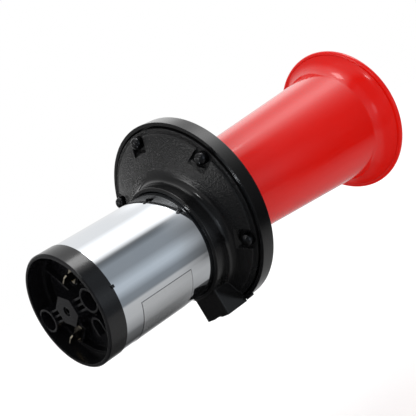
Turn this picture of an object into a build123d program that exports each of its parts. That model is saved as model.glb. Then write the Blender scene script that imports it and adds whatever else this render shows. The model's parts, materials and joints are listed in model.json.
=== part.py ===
"""Motor-driven trumpet horn, in millimetres.

Frame: +X runs from the motor to the bell, +Z is up, and the origin is the centre of the foot's mounting
face. The trumpet, the covers and the diaphragm share the horn axis. The motor stands parallel to it and
lower, so that the face teeth of its wheel pass the diaphragm's stud at their pitch radius.
"""

import os
from math import cos, radians, sin, sqrt, tan

from build123d import *

# ---- Axes ----
MOTOR_DROP = 8.3         # motor axis below the horn axis

# ---- Covers and diaphragm ----
FRONT_X = 16.5           # front face of the front cover
RIM_R = 53.4             # rim band at its front edge
RIM_DRAFT = 0.4          # growth of the rim band towards its rear edge
RIM_WIDTH = 9.0          # length of the rim band along X
SKIRT_WALL = 2.0
COVER_GROOVE = 1.1       # ring gap between the skirt and the rear cover
CLAMP_WIDTH = 9.8        # width of the clamped ring inside the skirt
CLAMP_DEPTH = 4.7        # thickness of the front cover's clamped ring
FRONT_WALL = 3.0
SHEET = 0.5              # diaphragm
GASKET = 0.8
FLANGE = 3.0             # rear cover's flange
DOME_R = 130.0           # spherical back of the rear cover
DOME_STEP = 1.2          # height of the dome's edge above the flange
DOME_INSET = 2.3         # dome's edge inside the flange's edge
DOME_EDGE_ROUND = 0.9
CHAMBER_INSET = 1.4      # chamber's wall inside the clamped ring
COVER_WALL = 2.6
COLLAR_GRIP = 9.0        # length of the can inside the collar
COLLAR_WALL = 2.5
COLLAR_LEAD = 0.75       # widening of the collar's mouth
COLLAR_ROUND = 0.9
COLLAR_ROOT = 4.0        # rounding between the collar and the dome
BULKHEAD = 2.5
WHEEL_OPENING_R = 13.5
EDGE = 0.6               # small break on moulded and turned edges
RIM_KEY = (3.0, 3.6, 1.1, 257.6)   # length, width, height and angle of the key on the rim band

# ---- Cover screws ----
SCREW_PLACES = 6         # even places round the cover; the one above the foot has no screw
SCREW_TURN = 2.1         # turn of all the places from the foot's middle
SCREW_R = 1.75
SCREW_HEAD_R = 3.4
SCREW_HEAD = 5.2         # tall round head
SCREW_REACH = 8.6        # shank below the flange's face
SCREW_CLEAR = 0.35
POCKET_R = 5.5
POCKET_FLAT = 3.6        # flat floor from the screw's axis inwards
POCKET_RAMP = 3.4        # length of the ramp that leads from the floor to just above the dome
POCKET_OVER = 0.4        # height of the ramp's end above the dome
THREAD_FIT = 0.02        # play left round threads and pressed pieces

# ---- Foot ----
FOOT_BELOW_RIM = 0.2     # mounting face below the lowest point of the rim band
FOOT_WIDTH = 19.6
FOOT_LENGTH = 15.0
FOOT_SLOT = (2.4, 6.0, 1.0)   # length, width and depth of the rear slot for the bracket's lug
FOOT_GAP = 0.35          # between the foot and the skirt's rear edge
INSERT_R = 5.0
INSERT_BORE_R = 3.4      # minor radius of the M8 thread
INSERT_LENGTH = 9.0

# ---- Trumpet ----
TRUMPET_BASE_R = 26.5
TRUMPET_TAPER = 3.75     # half angle of the cone
CONE_LENGTH = 119.0
FLARE_R = 14.0           # outer radius of the curve between the cone and the lip
FLARE_END = 65.0         # slope of the wall where the lip starts
TRUMPET_WALL = 2.0
LIP_R = 1.6
SOCKET_DEPTH = 12.0
SOCKET_FIT = 0.1
THROAT_R = 10.0
SPIGOT_WALL = 2.4

# ---- Motor ----
CAN_R = 30.0
CAN_WALL = 1.0
CAN_LENGTH = 69.4
CAN_CORNER = 2.0
CAN_FIT = 0.15
SHAFT_R = 2.5
BEARING_R = 5.0
BEARING_LENGTH = 6.2
BEARING_FIT = 0.03
BEARING_WALL = 1.2
BOLT_R = 2.0
BOLT_INSET = 7.7         # bolts' axes inside the can's surface
BOLT_HEAD_AF = 7.0
BOLT_HEAD = 2.8
BOLT_CLEAR = 0.3
BOLT_GRIP = 7.0          # thread in the rear cover's bosses
BOLT_BOSS_R = 4.4
BOLT_BOSS_FLOOR = 1.0
MAGNET = 8.95            # thickness
MAGNET_FIT = 0.05
MAGNET_ARC = 116.0
MAGNET_FRONT_GAP = 9.0   # from the magnets to the can's front face
MAGNET_OVERHANG = 4.0    # magnets beyond each end of the core
AIR_GAP = 0.6            # between the core and the magnets
CORE_SLOTS = 12
SLOT_ROOT_R = 9.6
SLOT_MOUTH = 2.2
TOOTH_TIP = 1.6          # depth of the iron over the slots
TOOTH_NECK = 3.0
COIL_FIT = 0.12
COIL_BULGE = 5.8
COIL_INNER_R = 7.0
COIL_INSET = 1.8         # end bundles inside the core's outline
COIL_ROUND = 2.32
COIL_GAP = 0.6           # between the rear bundle and the commutator
COMMUTATOR_R = 6.5
COMMUTATOR_LENGTH = 9.0
COMMUTATOR_STAND = 3.8   # from the cap's floor to the commutator
RISER = (8.0, 1.4)       # radius and length of the commutator's riser
BAR_GAP = (0.5, 0.7)     # width and depth of the gaps between commutator bars

# ---- Toothed wheel ----
WHEEL_TEETH = 10
WHEEL_R = 11.4
WHEEL_DISC = 2.4
WHEEL_HUB_R = 5.0        # inner radius of the toothed ring
TOOTH_HEIGHT = 1.6
TOOTH_RAMP = 0.5         # shares of a tooth's pitch: rising ramp, crest and steep fall
TOOTH_CREST = 0.12
TOOTH_FALL = 0.2
STRIKE_GAP = 0.25        # rest clearance between tooth crests and the stud
STUD_R = 2.2
STUD_REACH = 5.0
STUD_COLLAR = (4.2, 1.0)
STUD_RIVET = (3.4, 1.1)
SHAFT_RING = (4.2, 2.0)  # radius and length of the rings that keep the shaft in place
END_PLAY = 0.25

# ---- End cap ----
CAP_LENGTH = 10.5        # visible band
CAP_PROUD = 0.4
CAP_WALL = 1.9
CAP_LEDGE = 1.0          # thickness of the rim's floor behind the can's edge
CAP_FLOOR_DEPTH = 13.3
CAP_FLOOR = 2.4
CAP_PLUG = 8.4           # plug inside the can
PLUG_FIT = 0.1
PLUG_WALL = 2.2
TUBE_R = 6.4
TUBE_WALL = 1.0
TUBE_BELOW_RIM = 0.8
HEX_R = 8.4              # circumradius of the hexagonal boss
HEX_BELOW_RIM = 0.3
SET_SCREW_R = 2.5
SET_SCREW_LENGTH = 7.4
SET_SCREW_BELOW = 0.6
SET_SCREW_SOCKET = (2.5, 2.6)   # width across flats and depth
SHAFT_RELIEF_R = 3.2
LINK_RIBS = (-3.0, 0.0, 3.0)
LINK_RIB_BELOW = 1.6
RIB = 1.0
RADIAL_RIB_HEIGHT = 3.6
RADIAL_RIB_ANGLES = (57.0, 237.0)
RADIAL_RIB_START = 9.0
GUARD_PLACE = (-0.4867, -0.4133)        # Y and Z of the arched guard in can radii from the motor axis
GUARD = (4.3, 5.0, 2.4)  # radius, leg and depth below the rim
TAB = (1.4, 1.6, 0.7)    # length, width and height of the locating tab
TAB_FIT = 0.05           # between the tab and the can

# ---- Terminals and brushes ----
BLADE = (6.3, 0.8)       # width and thickness
BLADE_CHAMFER = 1.2
BLADE_BELOW_RIM = 0.2
BLADE_PLACES = ((-0.4267, 0.4467), (0.4133, -0.44))   # Y and Z in can radii from the motor axis
BLADE_TURN = -30.0       # direction of the blade's width from +Y towards +Z
TERMINAL_FOOT = (4.2, 4.8)   # reach of the foot beside the blade and square to it
PAD_HEIGHT = 4.8
PAD_MARGIN = 0.8
RIVET_PLACE = (4.9, 2.1)     # along the blade's width and square to it, from the blade's middle
RIVET_R = 1.0
RIVET_HEAD = (1.8, 0.8)
BRUSH = (5.0, 4.0, 8.0)      # along X, across and radial
BRUSH_GAP = 0.15
HOLDER_START_R = 9.5
HOLDER_END_GAP = 4.6     # between a holder's end and the cap's plug
HOLDER_WALL = 0.8
HOLDER_FIT = 0.1
SPRING = (0.4, 3.0, 3)       # thickness, width and folds of the strip

# ---- Label ----
LABEL = 0.12
LABEL_MARGINS = (11.2, 15.0)      # from the can's rear edge and from the collar
LABEL_ANGLES = (-152.5, -88.0)   # about the motor axis, from +Y towards +Z

# ---- Derived places ----
SKIRT_BACK_X = FRONT_X - RIM_WIDTH
SKIRT_BACK_R = RIM_R + RIM_DRAFT
SKIRT_IN_R = SKIRT_BACK_R - SKIRT_WALL
HORN_Z = SKIRT_BACK_R + FOOT_BELOW_RIM
MOTOR_Z = HORN_Z - MOTOR_DROP
FLANGE_R = SKIRT_IN_R - COVER_GROOVE
DOME_EDGE_R = FLANGE_R - DOME_INSET
SCREW_PCR = SKIRT_IN_R - POCKET_R
CLAMP_R = SKIRT_IN_R - CLAMP_WIDTH
CHAMBER_R = CLAMP_R - CHAMBER_INSET
CLAMP_X = FRONT_X - CLAMP_DEPTH
SHEET_FRONT_X = CLAMP_X - GASKET
SHEET_BACK_X = SHEET_FRONT_X - SHEET
FLANGE_FRONT_X = SHEET_BACK_X - GASKET
FLANGE_BACK_X = FLANGE_FRONT_X - FLANGE
SCREW_END_X = FLANGE_BACK_X + SCREW_REACH
COLLAR_IN_R = CAN_R + CAN_FIT
COLLAR_OUT_R = COLLAR_IN_R + COLLAR_WALL
STUD_BACK_X = SHEET_BACK_X - STUD_REACH
CREST_X = STUD_BACK_X - STRIKE_GAP
WHEEL_FACE_X = CREST_X - TOOTH_HEIGHT
WHEEL_BACK_X = WHEEL_FACE_X - WHEEL_DISC
CAN_FRONT_X = WHEEL_BACK_X - SHAFT_RING[1] - END_PLAY
CAN_BACK_X = CAN_FRONT_X - CAN_LENGTH
COLLAR_BACK_X = CAN_FRONT_X - COLLAR_GRIP
BULKHEAD_FRONT_X = CAN_FRONT_X + BULKHEAD
BOLT_Y = CAN_R - BOLT_INSET
CAP_BACK_X = CAN_BACK_X - CAP_LENGTH
CAP_R = CAN_R + CAP_PROUD
CAP_IN_R = CAP_R - CAP_WALL
CAN_IN_R = CAN_R - CAN_WALL
PLUG_R = CAN_IN_R - PLUG_FIT
PLUG_IN_R = PLUG_R - PLUG_WALL
PLUG_FRONT_X = CAN_BACK_X + CAP_PLUG
FLOOR_BACK_X = CAP_BACK_X + CAP_FLOOR_DEPTH
FLOOR_FRONT_X = FLOOR_BACK_X + CAP_FLOOR
HEX_BACK_X = CAP_BACK_X + HEX_BELOW_RIM
SET_SCREW_BACK_X = HEX_BACK_X + SET_SCREW_BELOW
SET_SCREW_FRONT_X = SET_SCREW_BACK_X + SET_SCREW_LENGTH
SHAFT_BACK_X = SET_SCREW_FRONT_X + END_PLAY / 2
REAR_BEARING_X = SHAFT_BACK_X + EDGE
PAD_BACK_X = FLOOR_BACK_X - PAD_HEIGHT
COMMUTATOR_BACK_X = FLOOR_FRONT_X + COMMUTATOR_STAND
COMMUTATOR_FRONT_X = COMMUTATOR_BACK_X + COMMUTATOR_LENGTH
BRUSH_X = COMMUTATOR_BACK_X + (COMMUTATOR_LENGTH - RISER[1]) / 2
HOLDER_BACK_X = BRUSH_X - BRUSH[0] / 2 - HOLDER_FIT - HOLDER_WALL
HOLDER_END_R = PLUG_IN_R - HOLDER_END_GAP
MAGNET_OUT_R = CAN_IN_R - MAGNET_FIT
MAGNET_IN_R = MAGNET_OUT_R - MAGNET
CORE_R = MAGNET_IN_R - AIR_GAP
CORE_BACK_X = COMMUTATOR_FRONT_X + COIL_GAP + COIL_BULGE
MAGNET_BACK_X = CORE_BACK_X - MAGNET_OVERHANG
MAGNET_FRONT_X = CAN_FRONT_X - MAGNET_FRONT_GAP
CORE_FRONT_X = MAGNET_FRONT_X - MAGNET_OVERHANG


# ---- Helpers ----

def along_x(x, y=0.0, z=0.0):
    """Plane square to X whose own x is +Y and whose own y is +Z."""
    return Plane(origin=(x, y, z), x_dir=(0, 1, 0), z_dir=(1, 0, 0))


def prism(sketch, x_from, x_to, y=0.0, z=MOTOR_Z):
    """Sketch drawn in Y and Z, pulled along X."""
    return along_x(x_from, y, z) * extrude(sketch, x_to - x_from)


def rod(x_from, x_to, radius, y=0.0, z=MOTOR_Z):
    """Round bar along X."""
    return prism(Circle(radius), x_from, x_to, y, z)


def ring(x_from, x_to, outer, inner, y=0.0, z=MOTOR_Z):
    """Plain tube along X."""
    return prism(Circle(outer) - Circle(inner), x_from, x_to, y, z)


def turned(points, axis_z):
    """Solid of revolution from (x, radius) points about a line along X."""
    face = Plane.XZ * make_face(Polyline(*points, close=True))
    return Pos(0, 0, axis_z) * revolve(face, Axis.X)


def block(x_from, x_to, y_from, y_to, z_from, z_to):
    """Box between two corners."""
    box = Box(x_to - x_from, y_to - y_from, z_to - z_from)
    return Pos((x_from + x_to) / 2, (y_from + y_to) / 2, (z_from + z_to) / 2) * box


def turn_about(angle, z=MOTOR_Z):
    """Turn about the line along X at height z, from +Y towards +Z."""
    return Pos(0, 0, z) * Rot(angle, 0, 0) * Pos(0, 0, -z)


def sector(outer, inner, start, stop):
    """Ring sector between two angles from +Y towards +Z, under half a turn."""
    middle = (start + stop) / 2
    reach = (outer + EDGE) / cos(radians(stop - start) / 4)
    fan = [(reach * cos(radians(a)), reach * sin(radians(a))) for a in (start, middle, stop)]
    return (Circle(outer) - Circle(inner)) & make_face(Polyline((0, 0), *fan, close=True))


def screw_angles():
    """Angles of the cover screws: even places from the foot round, without the one above the foot."""
    step = 360.0 / SCREW_PLACES
    return [SCREW_TURN - 90.0 + step * i for i in range(1, SCREW_PLACES)]


def screw_places():
    """Y and Z of the cover screws."""
    turns = [radians(angle) for angle in screw_angles()]
    return [(SCREW_PCR * cos(a), HORN_Z + SCREW_PCR * sin(a)) for a in turns]


# ---- Trumpet ----

def bell_side(inset, x_from):
    """Section of the wall's side: a cone line and a tangent arc, inset square to the outer surface."""
    slope, stop = radians(TRUMPET_TAPER), radians(FLARE_END)
    centre_x = FRONT_X + CONE_LENGTH - FLARE_R * sin(slope)
    centre_r = TRUMPET_BASE_R + CONE_LENGTH * tan(slope) + FLARE_R * cos(slope)
    reach = FLARE_R + inset
    start, middle, end = [
        (centre_x + reach * sin(a), centre_r - reach * cos(a)) for a in (slope, (slope + stop) / 2, stop)]
    base_x = FRONT_X + x_from
    base_r = start[1] - (start[0] - base_x) * tan(slope)
    return [Line((base_x, base_r), start), ThreePointArc(start, middle, end)]


def trumpet():
    """Bell with a flared mouth, a rolled lip and a socket at its base."""
    outer = bell_side(0, 0)
    inner = bell_side(TRUMPET_WALL, SOCKET_DEPTH)
    socket_r = TRUMPET_BASE_R - TRUMPET_WALL
    socket = Polyline(inner[0] @ 0, (FRONT_X + SOCKET_DEPTH, socket_r), (FRONT_X, socket_r), outer[0] @ 0)
    slope = radians(FLARE_END)
    reach = sqrt(LIP_R ** 2 - (TRUMPET_WALL / 2) ** 2) + LIP_R
    middle = (outer[-1] @ 1 + inner[-1] @ 1) / 2
    front = (middle.X + reach * cos(slope), middle.Y + reach * sin(slope))
    lip = ThreePointArc(outer[-1] @ 1, front, inner[-1] @ 1)
    section = make_face([*outer, lip, *inner, *socket.edges()])
    return Pos(0, 0, HORN_Z) * revolve(Plane.XZ * section, Axis.X)


# ---- Covers ----

def rim_key():
    """Small moulded key that stands out of the rim band beside the foot."""
    length, width, height, angle = RIM_KEY
    key = block(SKIRT_BACK_X, SKIRT_BACK_X + length, RIM_R - EDGE, RIM_R + height, -width / 2, width / 2)
    return Pos(0, 0, HORN_Z) * Rot(angle, 0, 0) * key


def front_cover():
    """Disc with the rim band behind it, the throat, and the spigot that carries the trumpet."""
    spigot_r = TRUMPET_BASE_R - TRUMPET_WALL - SOCKET_FIT
    spigot_end = FRONT_X + SOCKET_DEPTH
    wall_x = FRONT_X - FRONT_WALL
    cover = turned([
        (wall_x, THROAT_R), (wall_x, CLAMP_R), (CLAMP_X, CLAMP_R), (CLAMP_X, SKIRT_IN_R),
        (SKIRT_BACK_X, SKIRT_IN_R), (SKIRT_BACK_X, SKIRT_BACK_R), (FRONT_X - EDGE, RIM_R),
        (FRONT_X, RIM_R - EDGE), (FRONT_X, spigot_r), (spigot_end - EDGE, spigot_r),
        (spigot_end, spigot_r - EDGE), (spigot_end, spigot_r - SPIGOT_WALL),
    ], HORN_Z)
    for y, z in screw_places():
        cover -= rod(CLAMP_X, SCREW_END_X + SCREW_CLEAR, SCREW_R + THREAD_FIT, y, z)
    return cover + rim_key()


def dome_x(radius, inset=0.0):
    """Place of the dome's surface, or of one inset under it, at a radius from the horn axis."""
    centre = FLANGE_BACK_X - DOME_STEP + sqrt(DOME_R ** 2 - DOME_EDGE_R ** 2)
    return centre - sqrt((DOME_R - inset) ** 2 - radius ** 2)


def under_dome(inset, radius):
    """Solid between the dome's surface, or one inset under it, and the flange's front."""
    ball = Pos(dome_x(0) + DOME_R, 0, HORN_Z) * Sphere(DOME_R - inset)
    return ball & rod(dome_x(0), FLANGE_FRONT_X, radius, 0, HORN_Z)


def foot():
    """Block under the collar that carries the whole horn."""
    half = FOOT_WIDTH / 2
    top = MOTOR_Z - COLLAR_IN_R + CAN_WALL
    pad = block(-FOOT_LENGTH / 2, SKIRT_BACK_X - FOOT_GAP, -half, half, 0, top)
    return fillet(pad.edges().filter_by(Axis.Z).group_by(Axis.X)[0], EDGE)


def foot_cuts():
    """Hole for the threaded insert, and the slot for the bracket's lug."""
    length, width, depth = FOOT_SLOT
    hole = extrude(Circle(INSERT_R + THREAD_FIT), INSERT_LENGTH)
    slot = block(-FOOT_LENGTH / 2, length - FOOT_LENGTH / 2, -width / 2, width / 2, 0, depth)
    return hole + slot


def screw_pocket(angle):
    """Cut for a screw's head: a round well, open inwards through a ramp up to the dome."""
    well = rod(dome_x(0), FLANGE_BACK_X, POCKET_R, 0, HORN_Z + SCREW_PCR)
    flat_r = SCREW_PCR - POCKET_FLAT
    top_r = flat_r - POCKET_RAMP
    top_x = dome_x(top_r) - POCKET_OVER
    side = Polyline(
        (top_x, SCREW_PCR), (FLANGE_BACK_X, SCREW_PCR), (FLANGE_BACK_X, flat_r), (top_x, top_r), close=True)
    ramp = Pos(0, 0, HORN_Z) * extrude(Plane.XZ * make_face(side), POCKET_R, both=True)
    return turn_about(angle - 90.0, HORN_Z) * (well + ramp)


def domed_body():
    """Solid dome and collar, with a rounded root between them."""
    dome = under_dome(0, DOME_EDGE_R)
    dome = fillet(dome.edges().group_by(Axis.X)[0], DOME_EDGE_ROUND)
    collar = rod(COLLAR_BACK_X, FLANGE_BACK_X, COLLAR_OUT_R)
    body = dome + fillet(collar.edges().group_by(Axis.X)[0], COLLAR_ROUND)
    boxes = [(edge, edge.bounding_box().size) for edge in body.edges()]
    root = [edge for edge, size in boxes if size.X > EDGE and size.Z > COLLAR_OUT_R]
    return fillet(root, COLLAR_ROOT)


def rear_cover():
    """Domed cover with a collar for the can, a bulkhead, bolt bosses, screw pockets and the foot."""
    body = domed_body()
    body += rod(FLANGE_BACK_X, FLANGE_FRONT_X, FLANGE_R, 0, HORN_Z) + foot()
    body -= under_dome(COVER_WALL, CHAMBER_R) & rod(BULKHEAD_FRONT_X, FLANGE_FRONT_X, CHAMBER_R, 0, HORN_Z)
    hole_end_x = CAN_FRONT_X + BOLT_GRIP + BOLT_BOSS_FLOOR
    for side in (-1, 1):
        body += rod(CAN_FRONT_X, hole_end_x + BOLT_BOSS_FLOOR, BOLT_BOSS_R, side * BOLT_Y)
        body -= rod(CAN_FRONT_X, hole_end_x, BOLT_R + THREAD_FIT, side * BOLT_Y)
    mouth = COLLAR_BACK_X + COLLAR_LEAD
    body -= turned([
        (COLLAR_BACK_X, 0), (COLLAR_BACK_X, COLLAR_IN_R + COLLAR_LEAD), (mouth, COLLAR_IN_R),
        (CAN_FRONT_X, COLLAR_IN_R), (CAN_FRONT_X, 0)], MOTOR_Z)
    body -= rod(CAN_FRONT_X, BULKHEAD_FRONT_X, WHEEL_OPENING_R)
    for angle in screw_angles():
        body -= screw_pocket(angle)
    for y, z in screw_places():
        body -= rod(FLANGE_BACK_X, FLANGE_FRONT_X, SCREW_R + SCREW_CLEAR, y, z)
    return body - foot_cuts()


def foot_insert():
    """Threaded bush, flush with the foot's face."""
    return extrude(Circle(INSERT_R) - Circle(INSERT_BORE_R), INSERT_LENGTH)


# ---- Diaphragm ----

def clamped_sheet(x_from, x_to, inner):
    """Flat ring that the covers clamp, with the screws' holes."""
    sheet = Circle(FLANGE_R - EDGE) - Circle(inner)
    for y, z in screw_places():
        sheet -= Pos(y, z - HORN_Z) * Circle(SCREW_R + SCREW_CLEAR)
    return prism(sheet, x_from, x_to, 0, HORN_Z)


def diaphragm_stud():
    """Rivet through the diaphragm whose nose the teeth strike."""
    collar_r, collar = STUD_COLLAR
    rivet_r, rivet = STUD_RIVET
    return turned([
        (STUD_BACK_X, 0), (STUD_BACK_X, STUD_R - EDGE), (STUD_BACK_X + EDGE, STUD_R),
        (SHEET_BACK_X - collar, STUD_R), (SHEET_BACK_X - collar, collar_r), (SHEET_BACK_X, collar_r),
        (SHEET_BACK_X, STUD_R), (SHEET_FRONT_X, STUD_R), (SHEET_FRONT_X, rivet_r),
        (SHEET_FRONT_X + rivet, rivet_r - EDGE), (SHEET_FRONT_X + rivet, 0)], HORN_Z)


def cover_screws():
    """Pan-head screws, each a solid of its own."""
    screws = []
    for y, z in screw_places():
        head = rod(FLANGE_BACK_X - SCREW_HEAD, FLANGE_BACK_X, SCREW_HEAD_R, y, z)
        head = fillet(head.edges().group_by(Axis.X)[0], SCREW_HEAD / 2)
        screws.append(head + rod(FLANGE_BACK_X, SCREW_END_X, SCREW_R, y, z))
    return screws


# ---- Motor housing ----

def motor_can():
    """Deep-drawn tube with a closed front, a bearing pocket and two bolt holes."""
    can = rod(CAN_BACK_X, CAN_FRONT_X, CAN_R)
    can = fillet(can.edges().group_by(Axis.X)[-1], CAN_CORNER)
    inside = rod(CAN_BACK_X, CAN_FRONT_X - CAN_WALL, CAN_IN_R)
    can -= fillet(inside.edges().group_by(Axis.X)[-1], CAN_CORNER - CAN_WALL)
    pocket_x = CAN_FRONT_X - BEARING_LENGTH
    can += rod(pocket_x - CAN_WALL, CAN_FRONT_X - CAN_WALL, BEARING_R + BEARING_WALL)
    can -= rod(pocket_x, CAN_FRONT_X, BEARING_R + THREAD_FIT)
    can -= rod(pocket_x - CAN_WALL, pocket_x, (BEARING_R + SHAFT_R) / 2)
    for side in (-1, 1):
        can -= rod(CAN_FRONT_X - CAN_WALL, CAN_FRONT_X, BOLT_R + BOLT_CLEAR, side * BOLT_Y)
    return can


def bearing(x_from):
    """Plain bush with running clearance on the shaft."""
    return ring(x_from, x_from + BEARING_LENGTH, BEARING_R, SHAFT_R + BEARING_FIT)


def magnet(middle_angle):
    """Arc of ferrite against the can's wall."""
    half = MAGNET_ARC / 2
    arc = sector(MAGNET_OUT_R, MAGNET_IN_R, middle_angle - half, middle_angle + half)
    return prism(arc, MAGNET_BACK_X, MAGNET_FRONT_X)


def through_bolts():
    """Long bolts from the cap's tubes to the rear cover's bosses."""
    head = RegularPolygon(BOLT_HEAD_AF / 2, 6, major_radius=False)
    bolts = []
    for side in (-1, 1):
        bolt = prism(head, FLOOR_BACK_X - BOLT_HEAD, FLOOR_BACK_X, side * BOLT_Y)
        bolts.append(bolt + rod(FLOOR_BACK_X, CAN_FRONT_X + BOLT_GRIP, BOLT_R, side * BOLT_Y))
    return bolts


def label():
    """Blank foil on the can."""
    start, stop = LABEL_ANGLES
    from_edge, from_collar = LABEL_MARGINS
    foil = sector(CAN_R + LABEL, CAN_R, start, stop)
    return prism(foil, CAN_BACK_X + from_edge, COLLAR_BACK_X - from_collar)


# ---- End cap ----

def blade_places():
    """Y and Z of the two blades from the motor axis: near side above it, far side below it."""
    return [(y * CAN_R, z * CAN_R) for y, z in BLADE_PLACES]


def blade_frame(place, x):
    """Plane at x whose own x is the blade's width and whose own y is square to it."""
    y, z = place
    turn = radians(BLADE_TURN)
    return Plane(origin=(x, y, MOTOR_Z + z), x_dir=(0, cos(turn), sin(turn)), z_dir=(1, 0, 0))


def terminal_plate(margin):
    """Outline of a terminal's foot in the blade's own plane, widened by a margin."""
    along, beside = TERMINAL_FOOT
    width = BLADE[0] + along + 2 * margin
    depth = BLADE[1] / 2 + beside + 2 * margin
    middle = (along / 2, depth / 2 - margin - BLADE[1] / 2)
    return Pos(*middle) * Rectangle(width, depth)


def cap_shell():
    """Rim, ledge, floor and the plug inside the can."""
    return turned([
        (CAP_BACK_X, CAP_IN_R), (CAP_BACK_X, CAP_R - EDGE), (CAP_BACK_X + EDGE, CAP_R), (CAN_BACK_X, CAP_R),
        (CAN_BACK_X, PLUG_R), (PLUG_FRONT_X, PLUG_R), (PLUG_FRONT_X, PLUG_IN_R), (FLOOR_FRONT_X, PLUG_IN_R),
        (FLOOR_FRONT_X, 0), (FLOOR_BACK_X, 0), (FLOOR_BACK_X, PLUG_IN_R), (CAN_BACK_X - CAP_LEDGE, PLUG_IN_R),
        (CAN_BACK_X - CAP_LEDGE, CAP_IN_R)], MOTOR_Z)


def cap_ribs():
    """Link ribs between boss and tubes, radial ribs and the arched guard."""
    link_x = CAP_BACK_X + LINK_RIB_BELOW
    ribs = [block(link_x, FLOOR_BACK_X, -BOLT_Y + TUBE_R - RIB, BOLT_Y - TUBE_R + RIB,
                  MOTOR_Z + z - RIB / 2, MOTOR_Z + z + RIB / 2) for z in LINK_RIBS]
    for angle in RADIAL_RIB_ANGLES:
        rib = block(FLOOR_BACK_X - RADIAL_RIB_HEIGHT, FLOOR_BACK_X, RADIAL_RIB_START, PLUG_IN_R + RIB / 2,
                    MOTOR_Z - RIB / 2, MOTOR_Z + RIB / 2)
        ribs.append(turn_about(angle) * rib)
    y, z = [share * CAN_R for share in GUARD_PLACE]
    radius, leg, below = GUARD
    arch = Circle(radius) + Pos(0, -leg / 2) * Rectangle(2 * radius, leg)
    inner = radius - RIB
    arch -= Circle(inner) + Pos(0, -leg) * Rectangle(2 * inner, 2 * leg)
    arch &= Pos(0, (radius - leg) / 2) * Rectangle(2 * radius, radius + leg)
    ribs.append(prism(arch, CAP_BACK_X + below, FLOOR_BACK_X, y, MOTOR_Z + z))
    return ribs


def end_cap():
    """Moulded cap: cup, hexagonal boss, bolt tubes, terminal pads, ribs and locating tab."""
    cap = cap_shell()
    cap += prism(RegularPolygon(HEX_R, 6, rotation=90), HEX_BACK_X, FLOOR_BACK_X)
    for side in (-1, 1):
        cap += rod(CAP_BACK_X + TUBE_BELOW_RIM, FLOOR_BACK_X, TUBE_R, side * BOLT_Y)
    for rib in cap_ribs():
        cap += rib
    for place in blade_places():
        cap += blade_frame(place, PAD_BACK_X) * extrude(terminal_plate(PAD_MARGIN), PAD_HEIGHT)
    for side in (-1, 1):
        post_y = BRUSH[1] / 2 + HOLDER_FIT + HOLDER_WALL
        z_from, z_to = sorted((side * HOLDER_START_R, side * HOLDER_END_R))
        cap += block(FLOOR_FRONT_X, HOLDER_BACK_X, -post_y, post_y, MOTOR_Z + z_from, MOTOR_Z + z_to)
    length, width, height = TAB
    cap += block(CAN_BACK_X - length / 2, CAN_BACK_X + length / 2, -CAP_R - height, -CAN_R - TAB_FIT,
                 MOTOR_Z - width / 2, MOTOR_Z + width / 2)
    return cap - end_cap_holes()


def end_cap_holes():
    """Tubes, bolt holes, bearing pocket, screw bore and rivet holes of the end cap."""
    holes = rod(HEX_BACK_X, REAR_BEARING_X, SET_SCREW_R + THREAD_FIT)
    holes += rod(SET_SCREW_FRONT_X, REAR_BEARING_X, SHAFT_RELIEF_R)
    holes += rod(REAR_BEARING_X, FLOOR_FRONT_X, BEARING_R + THREAD_FIT)
    for side in (-1, 1):
        holes += rod(CAP_BACK_X, FLOOR_BACK_X, TUBE_R - TUBE_WALL, side * BOLT_Y)
        holes += rod(FLOOR_BACK_X, FLOOR_FRONT_X, BOLT_R + BOLT_CLEAR, side * BOLT_Y)
    for place in blade_places():
        hole = extrude(Circle(RIVET_R + THREAD_FIT), FLOOR_FRONT_X - PAD_BACK_X)
        holes += blade_frame(place, PAD_BACK_X) * Pos(*RIVET_PLACE, 0) * hole
    return holes


def adjusting_screw():
    """Socket set screw that limits the rotor's end play."""
    screw = rod(SET_SCREW_BACK_X, SET_SCREW_FRONT_X, SET_SCREW_R)
    flats, depth = SET_SCREW_SOCKET
    socket = RegularPolygon(flats / 2, 6, major_radius=False)
    return screw - prism(socket, SET_SCREW_BACK_X, SET_SCREW_BACK_X + depth)


def terminal(place):
    """Blade terminal with a riveted foot."""
    width, thick = BLADE
    tip_x = CAP_BACK_X + BLADE_BELOW_RIM
    foot_x = PAD_BACK_X - thick
    half = width / 2
    outline = Polyline(
        (0, -half + BLADE_CHAMFER), (0, half - BLADE_CHAMFER), (BLADE_CHAMFER, half), (foot_x - tip_x, half),
        (foot_x - tip_x, -half), (BLADE_CHAMFER, -half), close=True)
    frame = blade_frame(place, tip_x)
    side = Plane(origin=frame.origin, x_dir=(1, 0, 0), z_dir=-frame.y_dir)
    blade = side * extrude(make_face(outline), thick / 2, both=True)
    plate = blade_frame(place, foot_x) * extrude(terminal_plate(0), thick)
    hole = blade_frame(place, foot_x) * Pos(*RIVET_PLACE, 0) * extrude(Circle(RIVET_R + THREAD_FIT), thick)
    return blade + plate - hole


def terminal_rivets():
    """Rivets through the terminals' feet and the cap's floor."""
    head_r, head = RIVET_HEAD
    foot_x = PAD_BACK_X - BLADE[1]
    rivets = []
    for place in blade_places():
        outside = blade_frame(place, foot_x - head) * Pos(*RIVET_PLACE, 0) * extrude(Circle(head_r), head)
        outside = fillet(outside.edges().group_by(Axis.X)[0], head / 2)
        shank = extrude(Circle(RIVET_R), FLOOR_FRONT_X - foot_x)
        shank = blade_frame(place, foot_x) * Pos(*RIVET_PLACE, 0) * shank
        inside = blade_frame(place, FLOOR_FRONT_X) * Pos(*RIVET_PLACE, 0) * extrude(Circle(head_r), head)
        rivets.append(outside + shank + inside)
    return rivets


# ---- Brush gear ----

def radial_box(margin, start, stop):
    """Box over the commutator, widened by a margin, between two radii above the motor axis."""
    along, across, _ = BRUSH
    return block(BRUSH_X - along / 2 - margin, BRUSH_X + along / 2 + margin,
                 -across / 2 - margin, across / 2 + margin, MOTOR_Z + start, MOTOR_Z + stop)


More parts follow.
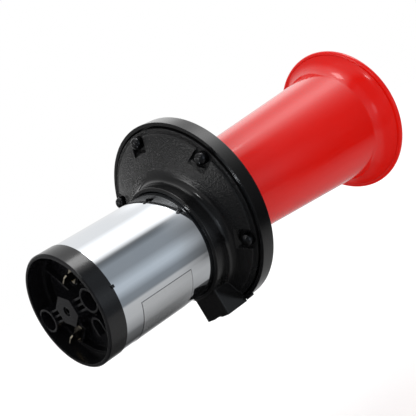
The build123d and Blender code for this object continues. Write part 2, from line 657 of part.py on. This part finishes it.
def brush_holder(angle):
    """Brass box, open towards the commutator."""
    box = radial_box(HOLDER_FIT + HOLDER_WALL, HOLDER_START_R, HOLDER_END_R)
    return turn_about(angle) * (box - radial_box(HOLDER_FIT, HOLDER_START_R, HOLDER_END_R - HOLDER_WALL))


def brush(angle):
    """Carbon block just clear of the commutator."""
    start = COMMUTATOR_R + BRUSH_GAP
    carbon = radial_box(0, start, start + BRUSH[2])
    return turn_about(angle) * (carbon - rod(PLUG_FRONT_X, BRUSH_X + BRUSH[0], start))


def brush_springs():
    """Folded strips between the brushes and the ends of their holders."""
    thick, width, folds = SPRING
    start = COMMUTATOR_R + BRUSH_GAP + BRUSH[2]
    stop = HOLDER_END_R - HOLDER_WALL
    half = BRUSH[1] / 2 - HOLDER_FIT
    rise = (stop - start - thick) / (folds + 1)
    legs = []
    for i in range(folds + 1):
        left = start + rise * (i + i % 2)
        right = start + rise * (i + 1 - i % 2)
        legs.append(make_face(Polyline(
            (-half, left), (half, right), (half, right + thick), (-half, left + thick), close=True)))
    spring = prism(Sketch() + legs, BRUSH_X - width / 2, BRUSH_X + width / 2)
    return [turn_about(angle) * spring for angle in (0, 180)]


# ---- Rotor ----

def shaft():
    """Plain shaft through both bearings, the core and the wheel."""
    return rod(SHAFT_BACK_X, CREST_X - EDGE, SHAFT_R)


def slot_half_width(radius):
    """Half width of a winding slot between two teeth of constant neck."""
    half_pitch = radians(180.0 / CORE_SLOTS)
    return radius * tan(half_pitch) - TOOTH_NECK / 2 / cos(half_pitch)


def winding_slot(inset):
    """Outline of the slot on the +Y axis, made smaller by an inset."""
    low, high = SLOT_ROOT_R + inset, CORE_R - TOOTH_TIP - inset
    a, b = slot_half_width(low) - inset, slot_half_width(high) - inset
    return make_face(Polyline((low, -a), (low, a), (high, b), (high, -b), close=True))


def around(sketch, count):
    """Copies of a sketch at equal angles."""
    return [Rot(0, 0, 360.0 * i / count) * sketch for i in range(count)]


def armature_core():
    """Stack of slotted iron sheets."""
    mouth = Pos(CORE_R, 0) * Rectangle(3 * TOOTH_TIP, SLOT_MOUTH)
    sheet = Circle(CORE_R) - Circle(SHAFT_R)
    for slot in around(winding_slot(0) + mouth, CORE_SLOTS):
        sheet -= slot
    return prism(sheet, CORE_BACK_X, CORE_FRONT_X)


def armature_winding():
    """Coil sides in the slots and the rounded bundles of their end turns."""
    bars = around(winding_slot(COIL_FIT), CORE_SLOTS)
    bars = [prism(bar, CORE_BACK_X - COIL_FIT, CORE_FRONT_X + COIL_FIT) for bar in bars]
    winding = None
    for x_from, outer_end in ((CORE_BACK_X - COIL_BULGE, 0), (CORE_FRONT_X, -1)):
        bundle = ring(x_from, x_from + COIL_BULGE, CORE_R - COIL_INSET, COIL_INNER_R)
        bundle = fillet(bundle.edges().group_by(Axis.X)[outer_end], COIL_ROUND)
        winding = bundle if winding is None else winding + bundle
    for bar in bars:
        winding += bar
    return winding


def commutator():
    """Copper bars round an insulating sleeve, with a riser for the coil ends."""
    riser_r, riser = RISER
    width, depth = BAR_GAP
    body = ring(COMMUTATOR_BACK_X, COMMUTATOR_FRONT_X, COMMUTATOR_R, SHAFT_R)
    body += ring(COMMUTATOR_FRONT_X - riser, COMMUTATOR_FRONT_X, riser_r, SHAFT_R)
    gap = block(COMMUTATOR_BACK_X, COMMUTATOR_FRONT_X, COMMUTATOR_R - depth, riser_r, MOTOR_Z - width / 2,
                MOTOR_Z + width / 2)
    for i in range(CORE_SLOTS):
        body -= turn_about(360.0 * i / CORE_SLOTS) * gap
    return body


def gap_section(radius):
    """Outline of the gap between two saw teeth at a radius, square to the radius."""
    pitch = 2 * radius * tan(radians(180.0 / WHEEL_TEETH))
    ramp, crest, fall = (share * pitch for share in (TOOTH_RAMP, TOOTH_CREST, TOOTH_FALL))
    floor = pitch - ramp - crest - fall
    top = TOOTH_HEIGHT + EDGE
    left = -floor / 2
    outline = Polyline(
        (left - fall, top), (left - fall, TOOTH_HEIGHT), (left, 0), (left + floor, 0),
        (left + floor + ramp, TOOTH_HEIGHT), (left + floor + ramp, top), close=True)
    across = Plane(origin=(WHEEL_FACE_X, 0, radius), x_dir=(0, 1, 0), z_dir=(0, 0, -1))
    return across * make_face(outline)


def toothed_wheel():
    """Wheel with saw-shaped face teeth that strike the diaphragm's stud."""
    wheel = turned([
        (WHEEL_BACK_X, SHAFT_R), (WHEEL_BACK_X, WHEEL_R), (CREST_X, WHEEL_R), (CREST_X, WHEEL_HUB_R),
        (CREST_X - EDGE, WHEEL_HUB_R), (CREST_X - EDGE, SHAFT_R)], 0)
    gap = loft([gap_section(WHEEL_HUB_R), gap_section(WHEEL_R + EDGE)])
    for i in range(WHEEL_TEETH):
        wheel -= Rot(360.0 * i / WHEEL_TEETH, 0, 0) * gap
    return Pos(0, 0, MOTOR_Z) * wheel


def shaft_rings():
    """Rings pressed on the shaft next to the two bearings."""
    radius, length = SHAFT_RING
    rear_x = REAR_BEARING_X + BEARING_LENGTH + END_PLAY
    front_x = WHEEL_BACK_X - length
    return [ring(x, x + length, radius, SHAFT_R) for x in (rear_x, front_x)]


# ---- Files ----

def nodes():
    """Every piece by its name."""
    return {
        "trumpet": trumpet(),
        "front_cover": front_cover(),
        "rear_cover": rear_cover(),
        "foot_insert": foot_insert(),
        "cover_screws": cover_screws(),
        "diaphragm": clamped_sheet(SHEET_BACK_X, SHEET_FRONT_X, STUD_R),
        "diaphragm_stud": diaphragm_stud(),
        "front_gasket": clamped_sheet(SHEET_FRONT_X, CLAMP_X, CLAMP_R),
        "rear_gasket": clamped_sheet(FLANGE_FRONT_X, SHEET_BACK_X, CLAMP_R),
        "motor_can": motor_can(),
        "label": label(),
        "upper_magnet": magnet(90),
        "lower_magnet": magnet(-90),
        "front_bearing": bearing(CAN_FRONT_X - BEARING_LENGTH),
        "rear_bearing": bearing(REAR_BEARING_X),
        "through_bolts": through_bolts(),
        "end_cap": end_cap(),
        "adjusting_screw": adjusting_screw(),
        "positive_terminal": terminal(blade_places()[0]),
        "negative_terminal": terminal(blade_places()[1]),
        "terminal_rivets": terminal_rivets(),
        "upper_brush_holder": brush_holder(0),
        "lower_brush_holder": brush_holder(180),
        "upper_brush": brush(0),
        "lower_brush": brush(180),
        "brush_springs": brush_springs(),
        "shaft": shaft(),
        "armature_core": armature_core(),
        "armature_winding": armature_winding(),
        "commutator": commutator(),
        "toothed_wheel": toothed_wheel(),
        "shaft_rings": shaft_rings(),
    }


def main():
    os.makedirs("parts", exist_ok=True)
    for name, shape in nodes().items():
        solid = Compound(children=shape) if isinstance(shape, list) else shape
        export_step(solid, f"parts/{name}.step")


main()
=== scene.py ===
"""Looks of the motor-driven trumpet horn, in metres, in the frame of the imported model.

+X runs from the motor to the bell, +Z is up, and the origin is the centre of the foot's mounting face.
"""

import json
import math

import bpy
from mathutils import Matrix, Vector


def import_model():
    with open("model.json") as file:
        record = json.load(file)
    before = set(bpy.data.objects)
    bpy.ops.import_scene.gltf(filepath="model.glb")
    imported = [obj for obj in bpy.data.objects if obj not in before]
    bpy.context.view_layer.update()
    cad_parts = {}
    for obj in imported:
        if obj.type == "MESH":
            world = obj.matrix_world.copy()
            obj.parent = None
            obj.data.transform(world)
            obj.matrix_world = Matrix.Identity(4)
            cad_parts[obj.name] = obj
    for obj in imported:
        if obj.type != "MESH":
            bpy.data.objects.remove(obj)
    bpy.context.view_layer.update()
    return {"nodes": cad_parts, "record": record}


MM = 0.001
MOTOR_Z = 45.7 * MM   # height of the motor's axis
LABEL_X = (-59.2 * MM, -25.0 * MM)
LABEL_TURN = (math.radians(-152.5), math.radians(-88.0))   # round the motor's axis, from the far side
LABEL_R = 30.12 * MM
GRAIN_OUTSIDE = (36 * MM, 40 * MM)   # the rear cover's grain fades in here, away from the motor's axis
GRAIN_ABOVE = (10 * MM, 15 * MM)     # and here, over the foot
WORN_BLACK = (0.05, 0.05, 0.055, 1)  # rubbed edges of the covers
WORN_CAP = (0.06, 0.06, 0.06, 1)
OWN_FINISH = {"adjusting_screw": "black_steel"}   # nodes whose finish is not their slot's

# ---- Camera: the photograph's place, direction and focal length ----
CAMERA_PLACE = (-0.29733, -0.41011, 0.06598)
CAMERA_RIGHT = (0.66597, -0.54016, -0.51450)
CAMERA_UP = (0.41957, -0.29906, 0.85705)
CAMERA_LENS = 83.53

# ---- Studio: floor, fill, walls and cards that show in gloss, and lamps ----
FLOOR_Z = -0.12
FLOOR_SIZE = 12.0
FLOOR_GLOW_REACH = (0.35, 1.2)   # distances between which the floor's glow for the camera grows
FLOOR_GLOW = (0.15, 0.36)        # faint near the horn, to keep its shadow, and white farther out
FILL_LEVEL = 0.82                # plain light from all round, for matt surfaces

# Brightness that gloss and metal see, by the angle in degrees round the horn's axis: 0 is the far side,
# 90 above, 180 the near side and 270 below. Between two angles it changes evenly.
MOTOR_BANDS = (
    (0, 0.85), (30, 0.93), (78, 0.95),                                  # far wall
    (97, 1.55), (119, 1.55), (127, 0.95),                               # long softbox overhead
    (130, 0.52), (134, 0.17), (139, 0.18),                              # dark card beside it
    (149, 0.32), (170, 0.31), (190, 0.6), (198, 0.58),                  # near wall, lighter low down
    (214, 0.27), (226, 0.25),                                           # dark card at its foot
    (230, 0.55), (256, 0.5), (281, 0.29), (290, 0.14), (322, 0.055),    # table, dark behind the horn
    (330, 0.2), (338, 0.42), (345, 0.78), (360, 0.85),                  # foot of the far wall
)
TRUMPET_BANDS = (
    (0, 0.85), (27, 1.2), (48, 1.66), (68, 1.1),                        # far wall with a bright strip
    (78, 1.2), (88, 1.7), (99, 2.7), (109, 2.95), (119, 1.9),           # long softbox overhead
    (130, 1.08), (140, 0.68), (151, 0.36), (161, 0.2), (171, 0.13),     # its soft edge
    (223, 0.02), (236, 0.02),                                           # black near side
    (241, 0.2), (255, 0.4), (275, 0.47), (296, 0.4), (316, 0.41),       # table
    (360, 0.85),
)
TRUMPET_SIDE = (0.55, 0.61)   # X of a ray where the trumpet's bands begin to show and where they are full
TRUMPET_SIDE_TILT = 0.02      # the share of the ray's Y that is added to that X
COOL_ANGLES = (128, 140, 222, 232)   # the near wall is cooler: where that rises, and where it falls
COOL_TINT = (0.90, 0.99, 1.08, 1)
BACK_DIM_X = (-0.3, 0.15)        # X of a ray between which the room behind the motor brightens
BACK_DIM_SHARE = 0.36            # the share of light at its darkest
# Small soft lights: direction, full and faded half angle in degrees, brightness.
SPOTS = (
    ((-0.90, 0.39, 0.20), 3, 11, 4.3),
    ((-0.27, 0.93, 0.25), 1, 7, 3.8),
    ((0.06, 1.0, 0.03), 2, 8, 1.4),
    ((-0.05, -0.98, -0.20), 3, 13, 1.4),
)
# Small dark cards: direction, the two half angles, and the share of light they leave.
CARDS = (
    ((-0.10, 0.97, 0.22), 11, 17, 0.05),
    ((-0.57, 0.79, -0.20), 9, 13, 0.06),
)
# Area lights: place, aim, size, radiance, and whether they light gloss or matt surfaces.
AREA_LIGHTS = (
    ("top_light", (0.50, -0.17, 0.68), (0.50, 0.0, 0.054), (1.7, 0.42), 0.95, "matt"),
    ("back_light", (-1.2, -0.35, 0.45), (0.0, 0.0, 0.054), (1.0, 1.0), 1.5, "matt"),
    ("bell_light", (0.394, -0.26, 0.81), (0.13, -0.02, 0.10), (0.26, 0.26), 4.4, "gloss"),
    ("lip_light", (-0.167, -0.157, 0.202), (0.134, -0.038, 0.069), (0.03, 0.03), 16.0, "gloss"),
)


# ---- Node helpers ----

class Graph:
    """Short names for building a material's nodes."""

    def __init__(self, tree):
        self.nodes = tree.nodes
        self.links = tree.links
        self.nodes.clear()

    def add(self, kind, inputs=None, **settings):
        node = self.nodes.new(kind)
        for name, value in settings.items():
            setattr(node, name, value)
        for socket, value in (inputs or {}).items():
            self.set(node.inputs[socket], value)
        return node

    def set(self, socket, value):
        if isinstance(value, bpy.types.NodeSocket):
            self.links.new(value, socket)
        else:
            socket.default_value = value

    def math(self, operation, *values, clamp=False):
        node = self.add("ShaderNodeMath", operation=operation, use_clamp=clamp)
        for socket, value in zip(node.inputs, values):
            self.set(socket, value)
        return node.outputs[0]

    def between(self, value, low, high, new_low=0.0, new_high=1.0):
        node = self.add("ShaderNodeMapRange", {0: value, 1: low, 2: high, 3: new_low, 4: new_high})
        return node.outputs[0]

    def smooth(self, value, low, high, new_low=0.0, new_high=1.0):
        node = self.add("ShaderNodeMapRange", {0: value, 1: low, 2: high, 3: new_low, 4: new_high},
                        interpolation_type="SMOOTHSTEP")
        return node.outputs[0]

    def mix(self, factor, first, second):
        node = self.add("ShaderNodeMix", data_type="RGBA")
        for socket, value in ((0, factor), (6, first), (7, second)):
            self.set(node.inputs[socket], value)
        return node.outputs[2]

    def place(self, scale=(1, 1, 1)):
        where = self.add("ShaderNodeTexCoord").outputs["Object"]
        if scale == (1, 1, 1):
            return where
        return self.add("ShaderNodeMapping", {"Vector": where, "Scale": scale}).outputs[0]

    def noise(self, size, where=None, detail=3.0, rough=0.5):
        """Noise with features of that size, in metres."""
        node = self.add("ShaderNodeTexNoise", {"Scale": 1.0 / size, "Detail": detail, "Roughness": rough})
        self.links.new(where or self.place(), node.inputs["Vector"])
        return node.outputs["Fac"]

    def cells(self, size):
        """Rounded cells of that size, in metres."""
        cell = {"Vector": self.place(), "Scale": 1.0 / size}
        return self.add("ShaderNodeTexVoronoi", cell, feature="SMOOTH_F1").outputs["Distance"]

    def bump(self, height, depth, normal=None):
        node = self.add("ShaderNodeBump", {"Height": height, "Distance": depth, "Strength": 1.0})
        if normal:
            self.links.new(normal, node.inputs["Normal"])
        return node.outputs[0]

    def soft_edges(self, radius):
        return self.add("ShaderNodeBevel", {"Radius": radius}, samples=6).outputs[0]

    def edge_wear(self, radius):
        """Near 1 on sharp edges: how far the rounded normal turns from the true one."""
        rounded = self.soft_edges(radius)
        true = self.add("ShaderNodeNewGeometry").outputs["Normal"]
        dot = self.add("ShaderNodeVectorMath", {0: rounded, 1: true}, operation="DOT_PRODUCT")
        return self.between(self.math("SUBTRACT", 1.0, dot.outputs["Value"]), 0.01, 0.12)

    def worn(self, colour, pale, radius, amount):
        """A colour that turns a little paler on sharp edges."""
        return self.mix(self.math("MULTIPLY", self.edge_wear(radius), amount), colour, pale)

    def axes(self):
        """The X, Y and Z of the shaded point, which is in metres in the horn's frame."""
        return self.add("ShaderNodeSeparateXYZ", {0: self.place()}).outputs


def material(name):
    """New material and its graph, with the shader linked to the output."""
    made = bpy.data.materials.new(name)
    made.use_nodes = True
    graph = Graph(made.node_tree)
    shader = graph.add("ShaderNodeBsdfPrincipled")
    output = graph.add("ShaderNodeOutputMaterial")
    graph.links.new(shader.outputs[0], output.inputs[0])
    return made, graph, shader


def radius_from(graph, axis_z):
    """Distance from a line along X at that height."""
    axes = graph.axes()
    drop = graph.math("SUBTRACT", axes["Z"], axis_z)
    square = graph.math("ADD", graph.math("POWER", axes["Y"], 2.0), graph.math("POWER", drop, 2.0))
    return graph.math("SQRT", square)


# ---- Materials ----

def red_gloss():
    """Lacquered red moulding: slight orange peel, fine dust and hairlines in the gloss."""
    made, g, shader = material("red_gloss")
    blotch = g.noise(18 * MM, detail=2)
    colour = g.mix(blotch, (0.67, 0.0032, 0.0004, 1), (0.71, 0.0042, 0.0008, 1))
    dust = g.between(g.noise(0.35 * MM, detail=1), 0.72, 0.78)
    g.set(shader.inputs["Base Color"], g.mix(g.math("MULTIPLY", dust, 0.05), colour, (0.65, 0.2, 0.18, 1)))
    hair = g.noise(1.2 * MM, g.place((0.06, 1, 1)), detail=4)
    g.set(shader.inputs["Roughness"], g.between(hair, 0.3, 0.75, 0.12, 0.17))
    peel = g.bump(g.noise(1.6 * MM, detail=2), 0.003 * MM, g.soft_edges(0.25 * MM))
    g.set(shader.inputs["Normal"], peel)
    return made


def black_satin():
    """Rim band: smooth black moulding with a faint fine texture."""
    made, g, shader = material("black_satin")
    fine = g.noise(0.25 * MM, detail=3)
    colour = g.mix(g.noise(9 * MM), (0.002, 0.002, 0.0022, 1), (0.003, 0.003, 0.0034, 1))
    g.set(shader.inputs["Base Color"], g.worn(colour, WORN_BLACK, 0.3 * MM, 0.2))
    g.set(shader.inputs["Roughness"], g.between(fine, 0.3, 0.7, 0.16, 0.23))
    g.set(shader.inputs["Normal"], g.bump(fine, 0.005 * MM, g.soft_edges(0.35 * MM)))
    return made


def black_grained():
    """Rear cover: leather-like grain on the dome, smooth round the collar and on the foot."""
    made, g, shader = material("black_grained")
    fine = g.noise(0.6 * MM, detail=2)
    grain = g.math("ADD", g.math("MULTIPLY", g.cells(0.9 * MM), 0.8), g.math("MULTIPLY", fine, 0.45))
    outside_collar = g.between(radius_from(g, MOTOR_Z), *GRAIN_OUTSIDE)
    mask = g.math("MULTIPLY", outside_collar, g.between(g.axes()["Z"], *GRAIN_ABOVE))
    height = g.math("MULTIPLY", grain, mask)
    colour = g.mix(g.noise(12 * MM), (0.003, 0.003, 0.0032, 1), (0.005, 0.005, 0.0054, 1))
    g.set(shader.inputs["Base Color"], g.worn(colour, WORN_BLACK, 0.3 * MM, 0.15))
    g.set(shader.inputs["Roughness"], g.between(mask, 0.0, 1.0, 0.18, 0.29))
    g.set(shader.inputs["Normal"], g.bump(height, 0.3 * MM, g.soft_edges(0.4 * MM)))
    return made


def black_cap():
    """End cap: black glass-filled moulding with a dry, slightly mottled surface."""
    made, g, shader = material("black_cap")
    mottle = g.noise(0.5 * MM, detail=4, rough=0.6)
    flow = g.noise(6 * MM, g.place((0.3, 1, 1)), detail=3)
    colour = g.mix(flow, (0.003, 0.003, 0.0036, 1), (0.0055, 0.0055, 0.0064, 1))
    g.set(shader.inputs["Base Color"], g.worn(colour, WORN_CAP, 0.25 * MM, 0.2))
    g.set(shader.inputs["Roughness"], g.between(mottle, 0.3, 0.7, 0.14, 0.2))
    g.set(shader.inputs["Normal"], g.bump(mottle, 0.01 * MM, g.soft_edges(0.25 * MM)))
    return made


def can_chrome():
    """Bright plated tube: clear reflections, faint drawing lines along it, a few smudges."""
    made, g, shader = material("can_chrome")
    shader.inputs["Metallic"].default_value = 1.0
    drawn = g.noise(0.9 * MM, g.place((0.02, 1, 1)), detail=4)
    smudge = g.noise(14 * MM, detail=4, rough=0.6)
    g.set(shader.inputs["Base Color"], g.mix(smudge, (0.735, 0.765, 0.805, 1), (0.80, 0.82, 0.84, 1)))
    haze = g.math("MULTIPLY", g.between(smudge, 0.45, 0.8), g.between(g.noise(0.6 * MM), 0.4, 0.7))
    g.set(shader.inputs["Roughness"], g.between(haze, 0.0, 1.0, 0.03, 0.12))
    wavy = g.math("ADD", g.math("MULTIPLY", drawn, 0.3), g.noise(7 * MM, g.place((0.35, 1, 1)), detail=1))
    g.set(shader.inputs["Normal"], g.bump(wavy, 0.02 * MM, g.soft_edges(0.3 * MM)))
    return made


def label_foil():
    """Blank silver foil with a satin varnish, and a thin painted shadow along its edges where the foil's
    thickness would cast shade.
    """
    made, g, shader = material("label_foil")
    axes = g.axes()
    turn = g.math("ARCTAN2", g.math("SUBTRACT", axes["Z"], MOTOR_Z), axes["Y"])
    near_x = g.math("MINIMUM", g.math("SUBTRACT", axes["X"], LABEL_X[0]),
                    g.math("SUBTRACT", LABEL_X[1], axes["X"]))
    near_turn = g.math("MINIMUM", g.math("SUBTRACT", turn, LABEL_TURN[0]),
                       g.math("SUBTRACT", LABEL_TURN[1], turn))
    near = g.math("MINIMUM", near_x, g.math("MULTIPLY", near_turn, LABEL_R))
    # painted shadow: this thin dark line along the foil's edges stands in for the shade that the foil's
    # thickness casts
    line = g.between(near, 0.45 * MM, 0.25 * MM)
    fibre = g.noise(9 * MM, g.place((0.2, 1, 1)), detail=3)
    shader.inputs["Metallic"].default_value = 0.95
    foil = g.mix(fibre, (0.70, 0.72, 0.74, 1), (0.75, 0.765, 0.78, 1))
    # the dark grey mixed in here is the painted edge shadow, not print
    g.set(shader.inputs["Base Color"], g.mix(g.math("MULTIPLY", line, 0.75), foil, (0.12, 0.12, 0.13, 1)))
    g.set(shader.inputs["Roughness"], g.between(fibre, 0.3, 0.7, 0.1, 0.16))
    return made


def metal(name, low, high, rough_low, rough_high, scratch=(1, 1, 1)):
    """Metal whose brightness, roughness and scratches vary; scratch stretches the marks."""
    made, g, shader = material(name)
    marks = g.noise(0.5 * MM, g.place(scratch), detail=5, rough=0.6)
    blotch = g.noise(5 * MM, detail=3)
    shader.inputs["Metallic"].default_value = 1.0
    g.set(shader.inputs["Base Color"], g.mix(blotch, (*low, 1), (*high, 1)))
    g.set(shader.inputs["Roughness"], g.between(marks, 0.3, 0.7, rough_low, rough_high))
    g.set(shader.inputs["Normal"], g.bump(marks, 0.006 * MM, g.soft_edges(0.15 * MM)))
    return made


def matt(name, low, high, rough_low, rough_high, size, depth):
    """Dull mineral or fibre whose colour and grain vary."""
    made, g, shader = material(name)
    grain = g.noise(size, detail=5, rough=0.65)
    g.set(shader.inputs["Base Color"], g.mix(grain, (*low, 1), (*high, 1)))
    g.set(shader.inputs["Roughness"], g.between(grain, 0.3, 0.7, rough_low, rough_high))
    g.set(shader.inputs["Normal"], g.bump(grain, depth))
    return made


def enamelled_copper():
    """Coil bundles: fine wires wound round the axis, lacquered."""
    made, g, shader = material("enamelled_copper")
    turns = {"Vector": g.place(), "Scale": 1.0 / (6 * MM), "Distortion": 2.0, "Detail": 2.0,
             "Detail Scale": 1.5}
    wires = g.add("ShaderNodeTexWave", turns, wave_type="RINGS", rings_direction="X").outputs["Fac"]
    shader.inputs["Metallic"].default_value = 0.8
    g.set(shader.inputs["Base Color"], g.mix(wires, (0.20, 0.05, 0.015, 1), (0.55, 0.17, 0.05, 1)))
    shader.inputs["Roughness"].default_value = 0.3
    shader.inputs["Coat Weight"].default_value = 0.5
    g.set(shader.inputs["Normal"], g.bump(wires, 0.1 * MM))
    return made


# Slots with a look of their own.
OWN_LOOKS = (red_gloss, black_satin, black_grained, black_cap, can_chrome, label_foil, enamelled_copper)
# Metals: darkest and lightest colour, lowest and highest roughness, and how their scratches stretch.
ALONG_X = (0.05, 1, 1)
METALS = (
    ("black_steel", (0.035, 0.035, 0.037), (0.06, 0.06, 0.062), 0.2, 0.32),
    ("zinc", (0.50, 0.49, 0.46), (0.62, 0.61, 0.57), 0.25, 0.45),
    ("turned_steel", (0.42, 0.42, 0.43), (0.55, 0.55, 0.55), 0.18, 0.34),
    ("spring_steel", (0.36, 0.37, 0.39), (0.46, 0.47, 0.48), 0.2, 0.35, (1, 0.05, 1)),
    ("toothed_steel", (0.24, 0.24, 0.25), (0.36, 0.36, 0.37), 0.3, 0.5),
    ("iron_sheets", (0.12, 0.12, 0.125), (0.2, 0.2, 0.2), 0.4, 0.6, (1, 0.02, 0.02)),
    ("sintered_bronze", (0.33, 0.2, 0.1), (0.45, 0.3, 0.16), 0.4, 0.55),
    ("copper_bars", (0.6, 0.27, 0.15), (0.75, 0.38, 0.22), 0.15, 0.35, ALONG_X),
    ("bright_brass", (0.62, 0.45, 0.2), (0.75, 0.58, 0.3), 0.18, 0.34),
    ("tinned_brass", (0.42, 0.37, 0.29), (0.54, 0.49, 0.40), 0.1, 0.2, ALONG_X),
)
# Dull materials: the two colours, the two roughnesses, the size of the grain and its depth.
MINERALS = (
    ("ferrite", (0.05, 0.05, 0.052), (0.09, 0.09, 0.09), 0.5, 0.7, 0.3 * MM, 0.02 * MM),
    ("carbon", (0.015, 0.015, 0.015), (0.04, 0.04, 0.04), 0.4, 0.6, 0.2 * MM, 0.01 * MM),
    ("gasket_fibre", (0.09, 0.07, 0.05), (0.16, 0.13, 0.1), 0.7, 0.9, 0.4 * MM, 0.03 * MM),
)


def build_materials():
    """Every material by the record's slot name."""
    made = {make.__name__: make() for make in OWN_LOOKS}
    for name, *look in METALS:
        made[name] = metal(name, *look)
    for name, *look in MINERALS:
        made[name] = matt(name, *look)
    return made


def dress(frame, materials):
    """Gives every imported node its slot's finished material, or its own."""
    for part in frame["record"]["subparts"]:
        node = frame["nodes"][part["node"]]
        finish = materials[OWN_FINISH.get(part["node"], part["material_slot"])]
        for slot in node.material_slots:
            slot.material = finish


# ---- Studio ----

def add_camera():
    """The photograph's view."""
    data = bpy.data.cameras.new("camera")
    data.lens = CAMERA_LENS
    data.clip_start = 0.01
    camera = bpy.data.objects.new("camera", data)
    bpy.context.scene.collection.objects.link(camera)
    right, up = Vector(CAMERA_RIGHT), Vector(CAMERA_UP)
    back = right.cross(up)
    turn = Matrix((right, up, back)).transposed().to_4x4()
    camera.matrix_world = Matrix.Translation(CAMERA_PLACE) @ turn
    bpy.context.scene.camera = camera


def band_level(g, turn, bands):
    """Brightness from a list of angles in degrees and levels; turn runs from 0 to 1."""
    top = max(level for _, level in bands)
    ramp = g.add("ShaderNodeValToRGB", {0: turn})
    ramp.color_ramp.interpolation = "LINEAR"
    stops = ramp.color_ramp.elements
    while len(stops) < len(bands):
        stops.new(0.5)
    for stop, (angle, level) in zip(stops, bands):
        stop.position = angle / 360
        stop.color = (level / top, level / top, level / top, 1)
    return g.math("MULTIPLY", ramp.outputs[0], top)


def round_patch(g, way, aim, full, faded, outside, inside):
    """A value that changes inside a cone about a direction; full and faded are half angles in degrees."""
    dot = g.add("ShaderNodeVectorMath", {0: way, 1: Vector(aim).normalized()}, operation="DOT_PRODUCT")
    far, near = math.cos(math.radians(faded)), math.cos(math.radians(full))
    return g.smooth(dot.outputs["Value"], far, near, outside, inside)


def gloss_level(g, way, axes, turn, trumpet_side):
    """Brightness that gloss and metal see in each direction: bands, dark cards and small lights."""
    walls = g.add("ShaderNodeMix", {
        0: trumpet_side,
        2: band_level(g, turn, MOTOR_BANDS), 3: band_level(g, turn, TRUMPET_BANDS)}).outputs[0]
    gloss = g.math("MULTIPLY", walls, g.smooth(axes["X"], *BACK_DIM_X, BACK_DIM_SHARE, 1.0))
    for aim, full, faded, share in CARDS:
        gloss = g.math("MULTIPLY", gloss, round_patch(g, way, aim, full, faded, 1.0, share))
    for aim, full, faded, level in SPOTS:
        gloss = g.math("MAXIMUM", gloss, round_patch(g, way, aim, full, faded, 0.0, level))
    return gloss


def near_wall_tint(g, turn, strength):
    """The near wall's cooler colour, and white elsewhere."""
    start, full, ease, stop = [angle / 360 for angle in COOL_ANGLES]
    near_wall = g.math("MULTIPLY", g.smooth(turn, start, full), g.smooth(turn, ease, stop, 1.0, 0.0))
    return g.mix(g.math("MULTIPLY", near_wall, strength), (1, 1, 1, 1), COOL_TINT)


def add_world():
    """White for the camera, a studio of walls, softbox and cards for gloss, and plain fill for the rest."""
    world = bpy.data.worlds.new("studio")
    bpy.context.scene.world = world
    world.use_nodes = True
    g = Graph(world.node_tree)
    seen = g.add("ShaderNodeLightPath").outputs
    shine = g.math("MAXIMUM", seen["Is Glossy Ray"], seen["Is Transmission Ray"])
    way = g.add("ShaderNodeTexCoord").outputs["Generated"]
    axes = g.add("ShaderNodeSeparateXYZ", {0: way}).outputs
    turn = g.math("DIVIDE", g.math("ARCTAN2", axes["Z"], axes["Y"]), 2 * math.pi)
    turn = g.math("FRACT", g.math("ADD", turn, 1.0))
    along = g.math("ADD", axes["X"], g.math("MULTIPLY", axes["Y"], TRUMPET_SIDE_TILT))
    trumpet_side = g.smooth(along, *TRUMPET_SIDE)
    gloss = gloss_level(g, way, axes, turn, trumpet_side)
    tint = near_wall_tint(g, turn, g.math("SUBTRACT", shine, trumpet_side, clamp=True))
    level = g.add("ShaderNodeMix", {0: shine, 2: FILL_LEVEL, 3: gloss}).outputs[0]
    studio = g.add("ShaderNodeBackground", {"Color": tint, "Strength": level}).outputs[0]
    white = g.add("ShaderNodeBackground", {"Color": (1, 1, 1, 1), "Strength": 1.0}).outputs[0]
    choose = g.add("ShaderNodeMixShader", {0: seen["Is Camera Ray"], 1: studio, 2: white})
    g.add("ShaderNodeOutputWorld", {0: choose.outputs[0]})


def add_area_lights():
    """Soft lights over the horn and behind the motor, and two that show as highlights on the bell."""
    for name, place, aim, size, radiance, surfaces in AREA_LIGHTS:
        data = bpy.data.lights.new(name, "AREA")
        data.shape = "RECTANGLE"
        data.size, data.size_y = size
        data.energy = radiance * math.pi * size[0] * size[1]
        light = bpy.data.objects.new(name, data)
        bpy.context.scene.collection.objects.link(light)
        light.location = place
        light.rotation_euler = (Vector(aim) - Vector(place)).to_track_quat("-Z", "Y").to_euler()
        light.visible_glossy = surfaces == "gloss"
        light.visible_diffuse = surfaces == "matt"


def add_floor():
    """Pale floor under the horn. It keeps the shadow, and is white to the camera outside it."""
    half = FLOOR_SIZE / 2
    mesh = bpy.data.meshes.new("floor")
    outline = ((-half, -half), (half, -half), (half, half), (-half, half))
    mesh.from_pydata([(x, y, FLOOR_Z) for x, y in outline], [], [(0, 1, 2, 3)])
    floor = bpy.data.objects.new("floor", mesh)
    bpy.context.scene.collection.objects.link(floor)
    made, g, shader = material("floor_paper")
    fibre = g.noise(4 * MM, detail=2)
    g.set(shader.inputs["Base Color"], g.mix(fibre, (0.88, 0.88, 0.88, 1), (0.9, 0.9, 0.9, 1)))
    shader.inputs["Roughness"].default_value = 0.9
    seen = g.add("ShaderNodeLightPath").outputs["Is Camera Ray"]
    shader.inputs["Emission Color"].default_value = (1, 1, 1, 1)
    away = g.add("ShaderNodeVectorMath", {0: g.place()}, operation="LENGTH").outputs["Value"]
    glow = g.smooth(away, *FLOOR_GLOW_REACH, *FLOOR_GLOW)
    g.set(shader.inputs["Emission Strength"], g.math("MULTIPLY", seen, glow))
    mesh.materials.append(made)
    floor.visible_glossy = False


def main():
    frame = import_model()
    bpy.context.scene.view_settings.view_transform = "Standard"
    dress(frame, build_materials())
    add_camera()
    add_world()
    add_area_lights()
    add_floor()


main()
